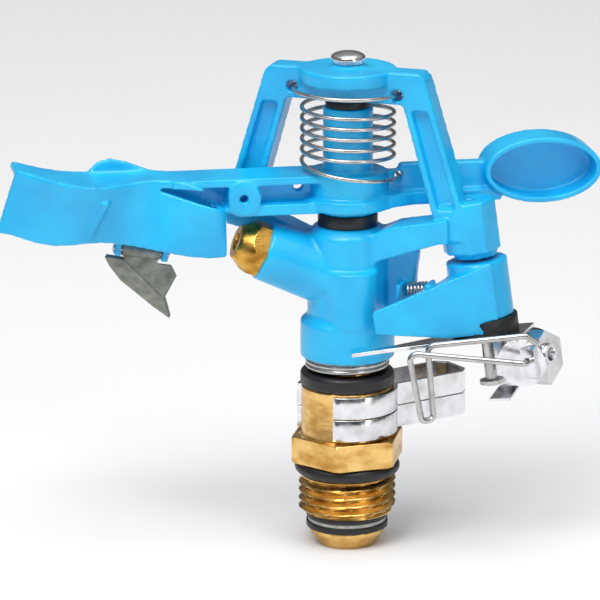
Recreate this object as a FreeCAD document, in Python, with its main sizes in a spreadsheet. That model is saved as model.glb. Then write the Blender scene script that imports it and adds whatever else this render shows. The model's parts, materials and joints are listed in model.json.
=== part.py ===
"""Part-circle impact sprinkler with a G1/2 male inlet.

Frame: +Z up the riser axis, origin on that axis at the lower end of the inlet thread.
The nozzle and the arm's spoon point along -X, the counterweight along +X.
Bodies: base (nut), head (turns on the nut), arm, deflector flap, trip lever, trip wire, two collars.
"""
import FreeCAD, Part
import math
import os
import re
import Sketcher

V = FreeCAD.Vector

# name, value in millimetres or degrees, what it is
DIMENSIONS = [
    # inlet nut
    ("thread_radius", 10.4775, "G1/2 crest"),
    ("thread_root", 9.3155, "G1/2 root"),
    ("thread_pitch", 1.814, "14 threads to the inch"),
    ("thread_land", 0.4, "flat on each crest"),
    ("thread_lead", 0.3, "chamfer at the thread's start"),
    ("thread_length", 8.2, "inlet thread"),
    ("relief_radius", 8.4, "groove that holds the gasket"),
    ("gasket_section", 2.9, "diameter of the O-ring's section"),
    ("hex_bottom", 11.5, "underside of the hexagon"),
    ("hex_height", 5.8, "hexagon"),
    ("hex_flats", 22, "across flats"),
    ("hex_turn", 9.3, "one corner's direction"),
    ("neck_radius", 9.8, "plain neck above the hexagon"),
    ("neck_top", 28.1, "upper end of the nut"),
    ("neck_ring_height", 3.3, "spring seat on the neck"),
    ("neck_ring_radius", 10.1, "its outer radius"),
    # riser tube and the bearing stack under the nut
    ("tube_radius", 6.5, "outside of the riser tube"),
    ("tube_bore", 4.7, "waterway in the tube"),
    ("tube_top", 47, "how far it reaches into the casting"),
    ("running_gap", 0.06, "radial clearance of a running fit"),
    ("washer_radius", 8.8, "bearing washers"),
    ("washer_thick", 1.3, "each black washer"),
    ("friction_thick", 0.9, "pale washer between them"),
    ("nose_height", 3.9, "flared nose below the washers"),
    ("nose_top_radius", 8.1, "nose under the washer"),
    ("nose_tip_radius", 6.2, "nose at its lower end"),
    # bearing spring
    ("bearing_wire", 1.2, "wire diameter"),
    ("bearing_coil", 8.5, "radius to the wire's centre"),
    ("bearing_turns", 4, "turns"),
    # body casting
    ("collar_bottom", 34.5, "lower edge of the casting"),
    ("collar_radius", 10.1, "collar"),
    ("collar_top", 42.5, "collar meets the barrel"),
    ("cavity_depth", 4.6, "spring cavity in the collar"),
    ("barrel_radius", 8.6, "barrel"),
    ("barrel_top", 63.3, "seat of the hub washer"),
    ("barrel_shoulder", 1.6, "slope at the barrel's top"),
    ("water_radius", 4.9, "waterway above the tube"),
    ("water_top", 57.5, "top of the waterway"),
    ("pad_radius", 5.9, "round pad on the barrel's front"),
    ("pad_front", 4.6, "its centre in front of the axis"),
    ("pad_top", 54.7, "its upper face"),
    ("branch_root", 51.3, "height where the branch leaves the axis"),
    ("branch_rise", 21, "branch above horizontal"),
    ("branch_length", 19.8, "axis to the end face"),
    ("branch_root_radius", 7.6, "branch at the barrel"),
    ("branch_tip_radius", 6.3, "branch at its end"),
    ("nozzle_shank", 4.3, "radius of the nozzle's shank"),
    ("nozzle_flats", 10.6, "nozzle hexagon across flats"),
    ("nozzle_height", 6, "how far the nozzle stands out"),
    ("nozzle_bore", 1.9, "radius of the jet"),
    # bridge over the arm
    ("bridge_turn", -28, "plane of the bridge about Z"),
    ("bridge_depth", 3, "half its thickness"),
    ("bridge_top", 97.5, "top of the bar"),
    ("bridge_under", 90.5, "underside of the bar"),
    ("bridge_foot", 66, "where the legs meet their feet"),
    ("outer_top_half", 17.3, "outer corner at the top"),
    ("outer_foot_half", 26.9, "outer edge at the foot"),
    ("inner_top_half", 12.9, "window at the top"),
    ("inner_foot_half", 19.8, "window at the foot"),
    ("leg_web", 1.1, "half the web left between the leg's recesses"),
    ("leg_edge", 1.5, "raised edge along each leg"),
    ("disc_radius", 10.3, "round boss on the bar"),
    ("disc_bottom", 94.4, "its underside"),
    ("crown_radius", 3.6, "small raised seat of the pin's head"),
    ("crown_height", 0.7, "its height"),
    ("wire_hole", 1.25, "holes for the arm spring"),
    ("loop_height", 93.1, "where the arm spring passes through the bar"),
    # trip pivot, on the bridge's right foot
    ("pivot_reach", 27.6, "pivot from the axis, along the bridge"),
    ("pivot_aside", 3, "pivot behind the bridge's plane"),
    ("pivot_height", 57.4, "top of the lever's hub"),
    ("pivot_tilt", 8, "lean of the pivot: its foot points outward"),
    ("boss_half", 5.5, "half the side of the square pivot boss"),
    ("boss_turn", -15, "its turn about the pivot"),
    ("boss_shift", 0.6, "its centre inward of the pivot"),
    ("boss_height", 11, "pivot boss"),
    ("boss_neck", 4.6, "round neck below the boss"),
    ("neck_drop", 1.6, "its height"),
    ("trip_pin_radius", 1.25, "pivot pin"),
    ("trip_pin_low", 28, "pin below the lever's top"),
    # trip lever and what it carries
    ("lever_hub", 6.5, "hub radius"),
    ("lever_hub_height", 12.7, "hub"),
    ("lever_reach", 20.3, "pivot to the lever's tip"),
    ("lever_bottom", 15.2, "arm's underside below the hub's top"),
    ("lever_tip_drop", 8, "arm's top edge at the tip"),
    ("lever_tip_bottom", 12.4, "its underside at the tip"),
    ("ear_out", 9.3, "spring ear from the pivot"),
    ("trip_coil", 1.6, "trip spring, radius to the wire's centre"),
    ("trip_coil_wire", 0.3, "its wire's radius"),
    ("trip_coil_long", 4.3, "its length"),
    ("spacer_radius", 7.2, "black spacer"),
    ("spacer_thick", 3.3, "black spacer"),
    ("plate_thick", 0.8, "stainless trip plate"),
    ("block_out", 8.6, "wire block's centre from the pivot"),
    ("cheek_radius", 5.2, "round part of the wire block"),
    ("cheek_half", 5, "half its length"),
    ("block_flats", 10.4, "hexagonal part across flats"),
    ("block_start", 1.8, "hexagonal part's inner end from the centre"),
    ("block_length", 5.2, "its outer end from the centre"),
    ("block_turn", -18, "its axis about the pivot's"),
    ("screw_lift", 0.8, "socket screw above the centre"),
    ("screw_shank", 1.8, "radius of its shank"),
    ("screw_head", 2.25, "radius of its head"),
    ("screw_socket", 1.45, "radius of its socket"),
    ("bracket_thick", 0.6, "sheet of the block's bracket"),
    ("bracket_wide", 4.6, "its width"),
    ("bracket_low", 30.4, "its foot below the lever's top"),
    ("trip_wire_radius", 0.65, "hairpin wire"),
    ("wire_turn", 15, "strands about the pivot's X"),
    ("wire_front", 7.4, "rear strand in front of the block's centre"),
    ("wire_spread", 1.4, "front strand in front of the rear one"),
    ("wire_hole_lift", 0.5, "wire's hole above the centre"),
    ("wire_corner", 24.5, "hole to the hairpin's corner"),
    ("wire_rise", 5.3, "corner above the hole"),
    ("wire_drop", 15, "hanging leg"),
    ("wire_legs", 4.1, "distance between the legs at the top"),
    # hammer arm
    ("arm_bottom", 66, "underside of the hub"),
    ("hub_boss_radius", 6, "boss on the washer"),
    ("hub_boss_height", 1.4, "boss on the washer"),
    ("hub_disc_radius", 9.6, "hub disc"),
    ("hub_disc_height", 2.6, "hub disc"),
    ("hub_radius", 8.3, "hub above the disc"),
    ("arm_top", 75.2, "top of the hub and of the top flange"),
    ("post_radius", 5.33, "post inside the spring"),
    ("post_top", 89, "upper end of the post"),
    ("fulcrum_radius", 1.98, "fulcrum pin"),
    ("bush_radius", 3.2, "bush in the arm"),
    ("flange_half", 5.3, "half width of the arm's left flanges"),
    ("flange_thick", 1.6, "top flange"),
    ("arm_web", 1.2, "half the web of the arm"),
    ("knob_out", 23.2, "round boss on the beam from the axis"),
    ("knob_height", 71, "its centre"),
    ("knob_radius", 3.7, "round boss"),
    ("weight_centre", 41.6, "counterweight from the axis"),
    ("weight_height", 74.3, "its centre"),
    ("weight_long", 12.7, "half its length"),
    ("weight_tall", 7.1, "half its height"),
    ("weight_depth", 4.5, "half its thickness"),
    ("weight_rim", 1.2, "raised rim"),
    ("weight_recess", 5.5, "depth of the dish"),
    ("spoon_wall", 1.6, "wall of the spoon"),
    ("lip_top", 69.4, "spoon's end at its top"),
    ("lip_foot", 75, "spoon's end at its foot"),
    # arm spring
    ("arm_wire", 0.9, "wire diameter"),
    ("arm_coil", 9.8, "radius to the wire's centre"),
    ("arm_loop", 11.6, "radius of the top loop"),
    ("arm_coil_top", 89.1, "where the close coils begin"),
    ("arm_coil_low", 76.3, "lowest turn"),
    # deflector flap
    ("flap_pin_radius", 0.7, "hinge pin"),
    ("flap_x", -44.3, "middle of the hinge"),
    ("flap_y", 1, "hinge line"),
    ("flap_z", 59, "middle of the hinge"),
    ("flap_slope", 9.9, "how far the hinge line falls towards the axis"),
    ("flap_span", 8.4, "knuckle length"),
    ("lug_thick", 1.6, "lugs that hold the hinge pin"),
    ("flap_thick", 0.9, "sheet"),
    ("flap_fold", 48, "angle of the fold"),
    # friction collars
    ("strip_thick", 1, "stainless strip"),
    ("strip_tall", 4.7, "height of each collar"),
    ("strip_gap", 0.25, "between the collars"),
    ("collar_low", 18, "lower edge of the lower collar"),
    ("handle_end", 29, "handle's end from the axis"),
    ("handle_half", 4.3, "half the handle's inner width"),
    ("handle_turn", 24, "handle's direction at rest"),
]

doc = FreeCAD.newDocument("sprinkler")
sheet = doc.addObject("Spreadsheet::Sheet", "Dims")
size = {}
for row, (name, amount, note) in enumerate(DIMENSIONS, start=1):
    sheet.set("A%d" % row, name)
    sheet.set("B%d" % row, str(amount))
    sheet.setAlias("B%d" % row, name)
    sheet.set("C%d" % row, note)
    size[name] = float(amount)
doc.recompute()

WORDS = re.compile(r"\b(%s)\b" % "|".join(size))
SUBPARTS = []


def cells(text):
    """An expression with its names pointed at the sheet."""
    return WORDS.sub(r"Dims.\1", str(text))


def bind(thing, prop, text):
    thing.setExpression(prop, cells(text))


def place(thing, x=0, y=0, z=0, yaw=0, pitch=0, roll=0):
    bind(thing, "Placement",
         "placement(vector(%s; %s; %s); rotation(%s; %s; %s))" % (x, y, z, yaw, pitch, roll))


def body(label, **where):
    made = doc.addObject("PartDesign::Body", label)
    made.Label = label
    if where:
        place(made, **where)
    SUBPARTS.append(made)
    return made


def sketch(owner, name, plane, offset=None):
    """An empty sketch on one of the body's origin planes."""
    made = owner.newObject("Sketcher::SketchObject", name)
    origin = [f for f in owner.Origin.OriginFeatures if f.Role == plane + "_Plane"][0]
    made.AttachmentSupport = [(origin, "")]
    made.MapMode = "FlatFace"
    if offset:
        bind(made, "AttachmentOffset", offset)
    return made


def fix_point(made, geometry, which, x, y, seed):
    for kind, text, start in (("DistanceX", x, seed[0]), ("DistanceY", y, seed[1])):
        index = made.addConstraint(Sketcher.Constraint(kind, -1, 1, geometry, which, start))
        bind(made, "Constraints[%d]" % index, text)


def outline(owner, name, plane, points, offset=None):
    """A closed polygon. Each corner is dimensioned from the sketch's origin."""
    made = sketch(owner, name, plane, offset)
    count = len(points)
    seeds = [(math.cos(math.tau * i / count), math.sin(math.tau * i / count)) for i in range(count)]
    for i in range(count):
        start, end = seeds[i], seeds[(i + 1) % count]
        made.addGeometry(Part.LineSegment(V(start[0], start[1], 0), V(end[0], end[1], 0)), False)
    for i in range(count):
        made.addConstraint(Sketcher.Constraint("Coincident", i, 2, (i + 1) % count, 1))
    for i, (x, y) in enumerate(points):
        fix_point(made, i, 1, x, y, seeds[i])
    return made


def circles(owner, name, plane, rounds, offset=None):
    """Circles, each given as centre x, centre y and radius."""
    made = sketch(owner, name, plane, offset)
    for i, (x, y, radius) in enumerate(rounds):
        made.addGeometry(Part.Circle(V(1, 1, 0), V(0, 0, 1), 1 + i), False)
        fix_point(made, i, 3, x, y, (1.0, 1.0))
        index = made.addConstraint(Sketcher.Constraint("Radius", i, 1.0 + i))
        bind(made, "Constraints[%d]" % index, radius)
    return made


def ellipse(owner, name, plane, centre, long_half, short_half, offset=None):
    """A level ellipse, dimensioned through its two axes."""
    made = sketch(owner, name, plane, offset)
    made.addGeometry(Part.Ellipse(V(0, 0, 0), 5, 3), False)
    made.exposeInternalGeometry(0)
    made.addConstraint(Sketcher.Constraint("Horizontal", 1))
    fix_point(made, 0, 3, centre[0], centre[1], (0.0, 0.0))
    for line, text, start in ((1, long_half, 10.0), (2, short_half, 6.0)):
        index = made.addConstraint(Sketcher.Constraint("Distance", line, start))
        bind(made, "Constraints[%d]" % index, "2 * (%s)" % text)
    return made


def feature(owner, kind, name, profile):
    made = owner.newObject("PartDesign::" + kind, name)
    made.Profile = profile
    return made


def pad(owner, name, profile, length, middle=False):
    """Adds the profile's prism, along its normal or half to each side."""
    made = feature(owner, "Pad", name, profile)
    bind(made, "Length", length)
    if middle:
        made.SideType = "Symmetric"
    return made


def pocket(owner, name, profile, depth=None, reverse=False):
    """Cuts the profile's prism: through everything both ways, or to a depth."""
    before = checked_volume(owner)
    made = feature(owner, "Pocket", name, profile)
    if depth is None:
        made.Type = "ThroughAll"
        made.SideType = "Symmetric"
    else:
        bind(made, "Length", depth)
        made.Reversed = reverse
    return confirm_cut(made, before)


def revolve(owner, name, profile):
    made = feature(owner, "Revolution", name, profile)
    made.ReferenceAxis = (profile, ["V_Axis"])
    made.Angle = 360
    return made


def groove(owner, name, profile):
    before = checked_volume(owner)
    made = feature(owner, "Groove", name, profile)
    made.ReferenceAxis = (profile, ["V_Axis"])
    made.Angle = 360
    return confirm_cut(made, before)


def checked_volume(owner):
    doc.recompute()
    return owner.Shape.Volume


def confirm_cut(made, before):
    """A cut that points away from the solid removes nothing and shows no error."""
    doc.recompute()
    if not made.Shape.Volume < before:
        raise RuntimeError(made.Name + " cuts nothing")
    return made


def fillet(owner, name, radius, wanted):
    """Rounds the edges of the body's tip that the test picks."""
    return dress(owner, "Fillet", name, "Radius", radius, wanted)


def chamfer(owner, name, width, wanted):
    return dress(owner, "Chamfer", name, "Size", width, wanted)


def dress(owner, kind, name, prop, amount, wanted):
    doc.recompute()
    tip = owner.Tip
    picked = ["Edge%d" % n for n, edge in enumerate(tip.Shape.Edges, start=1) if wanted(edge)]
    if not picked:
        raise RuntimeError(name + " finds no edge")
    made = owner.newObject("PartDesign::" + kind, name)
    made.Base = (tip, picked)
    bind(made, prop, amount)
    return made


def level_circle(edge, height, radius):
    """Is this edge a full circle round the Z axis, at this height and radius?"""
    curve = edge.Curve
    return (isinstance(curve, Part.Circle) and abs(edge.BoundBox.ZLength) < 1e-6
            and abs(edge.BoundBox.ZMin - height) < 1e-4 and abs(curve.Radius - radius) < 1e-4)


def hexagon(flats, turn="0"):
    corner = "(%s) / 2 / cos(30)" % flats
    return [("%s * cos(%s + %d)" % (corner, turn, 60 * k), "%s * sin(%s + %d)" % (corner, turn, 60 * k))
            for k in range(6)]


def lifted(height):
    return "placement(vector(0; 0; %s); rotation(0; 0; 0))" % height


def ring(label, inner, outer, thick, **where):
    made = body(label, **where)
    pad(made, label + "_pad", circles(made, label + "_rings", "XY", [("0", "0", outer), ("0", "0", inner)]), thick)
    return made


def sweep_wire(path, radius):
    """A round wire along a path."""
    edge = path.Edges[0]
    start = edge.valueAt(edge.FirstParameter)
    along = edge.tangentAt(edge.FirstParameter)
    section = Part.Wire([Part.Circle(start, along, radius).toShape()])
    return path.makePipeShell([section], True, True)


def free_shape(label, shape, **where):
    """A sub-part whose shape no feature or primitive makes."""
    made = doc.addObject("Part::Feature", label)
    made.Label = label
    made.Shape = shape
    if where:
        place(made, **where)
    SUBPARTS.append(made)
    return made


def coil_path(turns, radius_at, height_at, start=0.0, steps=12, hand=1):
    """A spline round the Z axis. radius_at and height_at take the share of the way along."""
    count = max(8, round(turns * steps))
    points = []
    for i in range(count + 1):
        share = i / count
        angle = math.radians(start + hand * 360 * turns * share)
        points.append(V(radius_at(share) * math.cos(angle), radius_at(share) * math.sin(angle), height_at(share)))
    curve = Part.BSplineCurve()
    curve.interpolate(points)
    return Part.Wire([curve.toShape()])


def bent_path(points, bends):
    """Straight runs joined by tangent arcs, with one bend radius for each inner corner."""
    edges = []
    last = points[0]
    for corner, bend, before, after in zip(points[1:-1], bends, points[:-2], points[2:]):
        back = (before - corner).normalize()
        ahead = (after - corner).normalize()
        half = back.getAngle(ahead) / 2
        reach = bend / math.tan(half)
        middle = corner + (back + ahead).normalize() * (bend / math.sin(half) - bend)
        first, second = corner + back * reach, corner + ahead * reach
        edges.append(Part.LineSegment(last, first).toShape())
        edges.append(Part.Arc(first, middle, second).toShape())
        last = second
    edges.append(Part.LineSegment(last, points[-1]).toShape())
    return Part.Wire(edges)


# ---- base: the nut that screws onto the riser ----

def bearing_nut():
    nut = body("bearing_nut")
    blank = outline(nut, "nut_profile", "XZ", [
        ("0", "0"),
        ("thread_radius - thread_lead", "0"),
        ("thread_radius", "thread_lead"),
        ("thread_radius", "thread_length"),
        ("relief_radius", "thread_length"),
        ("relief_radius", "hex_bottom"),
        ("neck_radius", "hex_bottom"),
        ("neck_radius", "neck_top"),
        ("0", "neck_top"),
    ])
    revolve(nut, "nut_blank", blank)
    flats = outline(nut, "hex_outline", "XY", hexagon("hex_flats", "hex_turn"), lifted("hex_bottom"))
    pad(nut, "hex", flats, "hex_height")
    corner = "hex_flats / 2 / cos(30)"
    trim = outline(nut, "hex_trim_profile", "XZ", [
        ("hex_flats / 2 + 0.5", "hex_bottom + hex_height"),
        (corner + " + 1", "hex_bottom + hex_height"),
        (corner + " + 1", "hex_bottom + hex_height - 1.3"),
    ])
    groove(nut, "hex_trim", trim)
    bore = circles(nut, "nut_bore_circle", "XY", [("0", "0", "tube_radius + running_gap")])
    pocket(nut, "nut_bore", bore)
    start = "thread_lead + thread_land"
    valley = outline(nut, "thread_profile", "XZ", [
        ("thread_radius + 0.2", start),
        ("thread_radius + 0.2", "thread_lead + thread_pitch"),
        ("thread_radius", "thread_lead + thread_pitch"),
        ("thread_root", "thread_lead + thread_pitch - (thread_pitch - thread_land) * 0.42"),
        ("thread_root", start + " + (thread_pitch - thread_land) * 0.42"),
        ("thread_radius", start),
    ])
    cut = groove(nut, "thread_valley", valley)
    turns = int((size["thread_length"] - size["thread_lead"] - size["thread_land"]) / size["thread_pitch"])
    thread = nut.newObject("PartDesign::LinearPattern", "thread")
    thread.Originals = [cut]
    thread.Direction = (valley, ["V_Axis"])
    bind(thread, "Length", "thread_pitch * %d" % (turns - 1))
    thread.Occurrences = turns
    nut.Tip = thread


def riser_gasket():
    made = doc.addObject("Part::Torus", "riser_gasket")
    made.Label = "riser_gasket"
    bind(made, "Radius1", "relief_radius + running_gap + gasket_section / 2")
    bind(made, "Radius2", "gasket_section / 2")
    place(made, z="hex_bottom - running_gap - gasket_section / 2")
    SUBPARTS.append(made)


def neck_ring():
    made = ring("neck_ring", "tube_radius + running_gap", "neck_ring_radius", "neck_ring_height", z="neck_top")
    fillet(made, "neck_ring_round", "0.9",
           lambda edge: any(level_circle(edge, z, size["neck_ring_radius"]) for z in (0, size["neck_ring_height"])))


# ---- head: riser tube, bearing stack, casting ----

def inner_tube():
    tube = body("inner_tube")
    stack = "2 * washer_thick + friction_thick"
    revolve(tube, "tube_turned", outline(tube, "tube_profile", "XZ", [
        ("tube_bore", "-(%s) - nose_height" % stack),
        ("nose_tip_radius", "-(%s) - nose_height" % stack),
        ("nose_top_radius", "-(%s) - nose_height * 0.25" % stack),
        ("nose_top_radius", "-(%s)" % stack),
        ("tube_radius", "-(%s)" % stack),
        ("tube_radius", "tube_top"),
        ("tube_bore", "tube_top"),
    ]))


def nose_washers():
    inner = "tube_radius + running_gap"
    ring("nose_washer_upper", inner, "washer_radius", "washer_thick", z="-washer_thick")
    ring("friction_washer", inner, "washer_radius - 0.35", "friction_thick", z="-washer_thick - friction_thick")
    ring("nose_washer_lower", inner, "washer_radius", "washer_thick", z="-2 * washer_thick - friction_thick")


def bearing_spring():
    wire = size["bearing_wire"] / 2
    low = size["neck_top"] + size["neck_ring_height"] + wire + size["running_gap"]
    high = size["collar_bottom"] + size["cavity_depth"] - wire - size["running_gap"]
    path = coil_path(size["bearing_turns"], lambda share: size["bearing_coil"],
                     lambda share: low + (high - low) * share)
    free_shape("bearing_spring", sweep_wire(path, wire))


def trip_frame(lift="0", turn="0"):
    """The pivot's own frame: its Z leans, so that its foot points outward."""
    x = "pivot_reach * cos(bridge_turn) - pivot_aside * sin(bridge_turn)"
    y = "pivot_reach * sin(bridge_turn) + pivot_aside * cos(bridge_turn)"
    lean_x = " - (%s) * sin(pivot_tilt) * cos(bridge_turn)" % lift
    lean_y = " - (%s) * sin(pivot_tilt) * sin(bridge_turn)" % lift
    rise = " + (%s) * cos(pivot_tilt)" % lift
    return dict(x=x + lean_x, y=y + lean_y, z="pivot_height" + rise,
                yaw="bridge_turn", pitch="-pivot_tilt", roll=turn)


def trip_offset(lift):
    """The same frame as an offset of a sketch on the XY plane."""
    at = trip_frame(lift)
    return "placement(vector(%s; %s; %s); rotation(%s; %s; 0))" % (at["x"], at["y"], at["z"], at["yaw"], at["pitch"])


def body_casting():
    casting = body("body_casting")
    bridge(casting)
    trip_bracket(casting)
    barrel(casting)
    branch(casting)
    casting_bores(casting)


def barrel(casting):
    revolve(casting, "barrel", outline(casting, "barrel_profile", "XZ", [
        ("0", "collar_bottom"),
        ("collar_radius", "collar_bottom"),
        ("collar_radius", "collar_top"),
        ("barrel_radius", "collar_top + 1.2"),
        ("barrel_radius", "barrel_top - barrel_shoulder"),
        ("barrel_radius - barrel_shoulder", "barrel_top"),
        ("0", "barrel_top"),
    ]))
    front = circles(casting, "pad_circle", "XY", [("0", "-pad_front", "pad_radius")], lifted("collar_top"))
    pad(casting, "front_pad", front, "pad_top - collar_top")


def branch_offset():
    return "placement(vector(0; branch_root; 0); rotation(vector(0; 0; 1); 90 - branch_rise))"


def branch(casting):
    revolve(casting, "branch", outline(casting, "branch_profile", "XZ", [
        ("0", "0"),
        ("branch_root_radius", "0"),
        ("branch_tip_radius", "branch_length"),
        ("0", "branch_length"),
    ], branch_offset()))


def bridge_plane():
    return "placement(vector(0; 0; 0); rotation(vector(0; 1; 0); bridge_turn))"


def leg_recess(side):
    """The hollow between a leg's raised edges, from its foot to the bar."""
    slope = "(outer_foot_half - outer_top_half) / (bridge_top - bridge_foot)"
    inner_slope = "(inner_foot_half - inner_top_half) / (bridge_under - bridge_foot)"
    low, high = "bridge_foot + 2.5", "bridge_under - 1"
    outer = "outer_top_half + (bridge_top - (%s)) * " + slope + " - leg_edge"
    inner = "inner_top_half + (bridge_under - (%s)) * " + inner_slope + " + leg_edge"
    return [("%s * (%s)" % (side, text % z), z) for text, z in
            ((outer, low), (outer, high), (inner, high), (inner, low))]


def bridge(casting):
    frame = [
        ("-outer_foot_half", "bridge_foot"),
        ("-outer_top_half - 0.4", "bridge_top - 1.3"),
        ("-outer_top_half + 1", "bridge_top"),
        ("outer_top_half - 1", "bridge_top"),
        ("outer_top_half + 0.4", "bridge_top - 1.3"),
        ("outer_foot_half", "bridge_foot"),
        ("outer_foot_half", "bridge_foot - 4"),
        ("inner_foot_half", "bridge_foot - 4.4"),
        ("barrel_radius - 2", "barrel_top - 5.6"),
        ("-barrel_radius + 2", "barrel_top - 5.6"),
        ("-inner_foot_half", "bridge_foot - 5.4"),
        ("-outer_foot_half + 0.5", "bridge_foot - 4"),
    ]
    pad(casting, "bridge", outline(casting, "bridge_outline", "XZ", frame, bridge_plane()),
        "2 * bridge_depth", middle=True)
    window = [
        ("-inner_foot_half", "bridge_foot"),
        ("-inner_top_half", "bridge_under"),
        ("inner_top_half", "bridge_under"),
        ("inner_foot_half", "bridge_foot"),
        ("inner_foot_half - 1.2", "bridge_foot - 0.4"),
        ("barrel_radius - 2", "barrel_top - 2.6"),
        ("-barrel_radius + 2", "barrel_top - 2.6"),
        ("-inner_foot_half + 1.2", "bridge_foot - 0.4"),
    ]
    pocket(casting, "bridge_window", outline(casting, "window_outline", "XZ", window, bridge_plane()))
    for side, word in ((1, "right"), (-1, "left")):
        for face, reverse in (("front", True), ("back", False)):
            name = "%s_leg_%s" % (word, face)
            lift = "leg_web" if face == "front" else "-leg_web"
            offset = ("placement(vector(%s * sin(bridge_turn); 0; (%s) * cos(bridge_turn)); "
                      "rotation(vector(0; 1; 0); bridge_turn))" % (lift, lift))
            recess = outline(casting, name, "XZ", leg_recess(side), offset)
            pocket(casting, name + "_recess", recess, "bridge_depth", reverse)
    disc = circles(casting, "disc_circle", "XY", [("0", "0", "disc_radius")], lifted("disc_bottom"))
    pad(casting, "bar_disc", disc, "bridge_top - disc_bottom")
    crown = circles(casting, "crown_circle", "XY", [("0", "0", "crown_radius")], lifted("bridge_top"))
    pad(casting, "pin_crown", crown, "crown_height")


def trip_bracket(casting):
    """The sloped bracket from the barrel to the pivot boss, its web, and the boss."""
    bracket = outline(casting, "bracket_outline", "XZ", [
        ("0.4", "barrel_top - 9.4"),
        ("pivot_reach - 6", "barrel_top - 1.8"),
        ("pivot_reach - 4.1", "barrel_top - 1.7"),
        ("pivot_reach - 4.3", "bridge_foot + 1"),
        ("pivot_reach - 7", "bridge_foot + 0.3"),
        ("hub_disc_radius + 1.2", "bridge_foot - 1.6"),
        ("hub_boss_radius + 1.2", "barrel_top - 0.5"),
        ("0.6", "barrel_top - 0.9"),
    ], bridge_plane())
    pad(casting, "bracket", bracket, "barrel_radius * 1.1", middle=True)
    web = outline(casting, "web_outline", "XZ", [
        ("0.8", "collar_top + 3"),
        ("barrel_radius + 5.4", "collar_top + 3"),
        ("barrel_radius + 6.8", "barrel_top - 5"),
        ("1", "barrel_top - 5"),
    ], "placement(vector(-2 * sin(bridge_turn); 0; -2 * cos(bridge_turn)); "
       "rotation(vector(0; 1; 0); bridge_turn))")
    pad(casting, "bracket_web", web, "2.6", middle=True)
    seat = outline(casting, "spring_seat_outline", "XZ", [
        ("11.7", "48.2"),
        ("12.9", "48.2"),
        ("12.9", "51.6"),
        ("11.7", "51.6"),
    ], "placement(vector(-sin(bridge_turn); 0; -cos(bridge_turn)); rotation(vector(0; 1; 0); bridge_turn))")
    pad(casting, "spring_seat", seat, "4.6")
    half = "boss_half"
    corners = [(1, 0.5), (0.5, 1), (-0.5, 1), (-1, 0.5), (-1, -0.5), (-0.5, -1), (0.5, -1), (1, -0.5)]
    turned = [("%s * (%s * cos(boss_turn) - %s * sin(boss_turn)) - boss_shift" % (half, a, b),
               "%s * (%s * sin(boss_turn) + %s * cos(boss_turn))" % (half, a, b)) for a, b in corners]
    block = outline(casting, "boss_outline", "XY", turned, trip_offset("neck_drop"))
    pad(casting, "pivot_boss", block, "boss_height")
    neck = circles(casting, "boss_neck_circle", "XY", [("0", "0", "boss_neck")], trip_offset("0.35"))
    pad(casting, "boss_neck_pad", neck, "neck_drop")


def casting_bores(casting):
    cavity = circles(casting, "cavity_circle", "XY", [
        ("0", "0", "bearing_coil + bearing_wire / 2 + 0.2")], lifted("collar_bottom"))
    pocket(casting, "spring_cavity", cavity, "cavity_depth", reverse=True)
    tube = circles(casting, "tube_seat_circle", "XY", [("0", "0", "tube_radius + 0.02")], lifted("collar_bottom"))
    pocket(casting, "tube_seat", tube, "tube_top - collar_bottom", reverse=True)
    water = circles(casting, "water_circle", "XY", [("0", "0", "water_radius")], lifted("tube_top - 1"))
    pocket(casting, "waterway", water, "water_top - tube_top + 1", reverse=True)
    groove(casting, "nozzle_seat", outline(casting, "nozzle_seat_profile", "XZ", [
        ("0", "0"),
        ("nozzle_shank - 0.4", "0"),
        ("nozzle_shank - 0.4", "branch_length - 7"),
        ("nozzle_shank + 0.03", "branch_length - 7"),
        ("nozzle_shank + 0.03", "branch_length + 1"),
        ("0", "branch_length + 1"),
    ], branch_offset()))
    pin = circles(casting, "fulcrum_circle", "XY", [("0", "0", "fulcrum_radius + 0.02")],
                  lifted("water_top + 1.5"))
    pocket(casting, "fulcrum_bore", pin, "bridge_top - water_top + 3", reverse=True)
    pivot = circles(casting, "pivot_circle", "XY", [("0", "0", "trip_pin_radius + 0.02")], trip_offset("-1"))
    pocket(casting, "pivot_bore", pivot, "boss_height + neck_drop + 4", reverse=True)
    loops = circles(casting, "spring_hole_circles", "XZ", [
        ("arm_loop", "loop_height - 0.6", "wire_hole"),
        ("-arm_loop", "loop_height", "wire_hole"),
    ], bridge_plane())
    pocket(casting, "spring_holes", loops)


def nozzle():
    """Brass jet: threaded shank, hexagon and chamfered front, along its own Z."""
    reach_x = "-branch_length * cos(branch_rise)"
    reach_z = "branch_root + branch_length * sin(branch_rise)"
    jet = body("nozzle", x=reach_x, z=reach_z, pitch="branch_rise - 90")
    pad(jet, "nozzle_hex", outline(jet, "nozzle_hex_outline", "XY", hexagon("nozzle_flats", "30")), "nozzle_height")
    shank = circles(jet, "nozzle_shank_circle", "XY", [("0", "0", "nozzle_shank")])
    made = pad(jet, "nozzle_shank_pad", shank, "6")
    made.Reversed = True
    groove(jet, "nozzle_front", outline(jet, "nozzle_front_profile", "XZ", [
        ("nozzle_flats / 2 - 1.8", "nozzle_height"),
        ("nozzle_flats / 2 + 2", "nozzle_height"),
        ("nozzle_flats / 2 + 2", "nozzle_height - 3.4"),
        ("nozzle_flats / 2 + 0.6", "nozzle_height - 3.4"),
    ]))
    groove(jet, "nozzle_waterway", outline(jet, "nozzle_bore_profile", "XZ", [
        ("0", "-7"),
        ("nozzle_shank - 0.9", "-7"),
        ("nozzle_shank - 0.9", "-3"),
        ("nozzle_bore", "nozzle_height - 3"),
        ("nozzle_bore", "nozzle_height + 1"),
        ("0", "nozzle_height + 1"),
    ]))


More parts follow.
